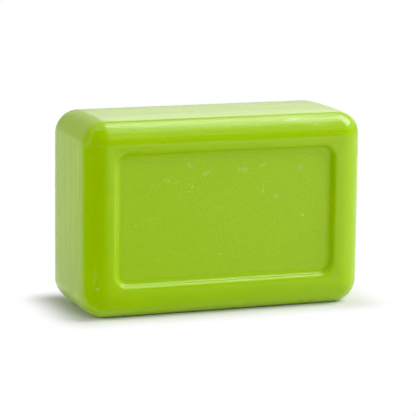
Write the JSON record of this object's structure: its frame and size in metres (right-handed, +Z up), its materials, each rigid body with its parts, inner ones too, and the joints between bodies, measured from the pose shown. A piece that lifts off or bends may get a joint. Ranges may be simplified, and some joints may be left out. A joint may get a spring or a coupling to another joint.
{
  "type": "bar of soap",
  "caption": "Stamped bar of soap with a flat side band, cushioned faces and a recessed plain panel in each face, standing on its long side.",
  "frame": {"origin": "on the surface that the bar stands on, under the middle of the bar", "axes": "+X along the bar's length, to the right as the front panel is seen; -Y out of the front panel; +Z up, across the bar's broad face"},
  "size_m": [0.08, 0.032, 0.0535],
  "materials": {
    "green_soap": "satin, waxy, lime green"
  },
  "bodies": {
    "root": {"soap_bar": "green_soap"}
  },
  "joints": []
}
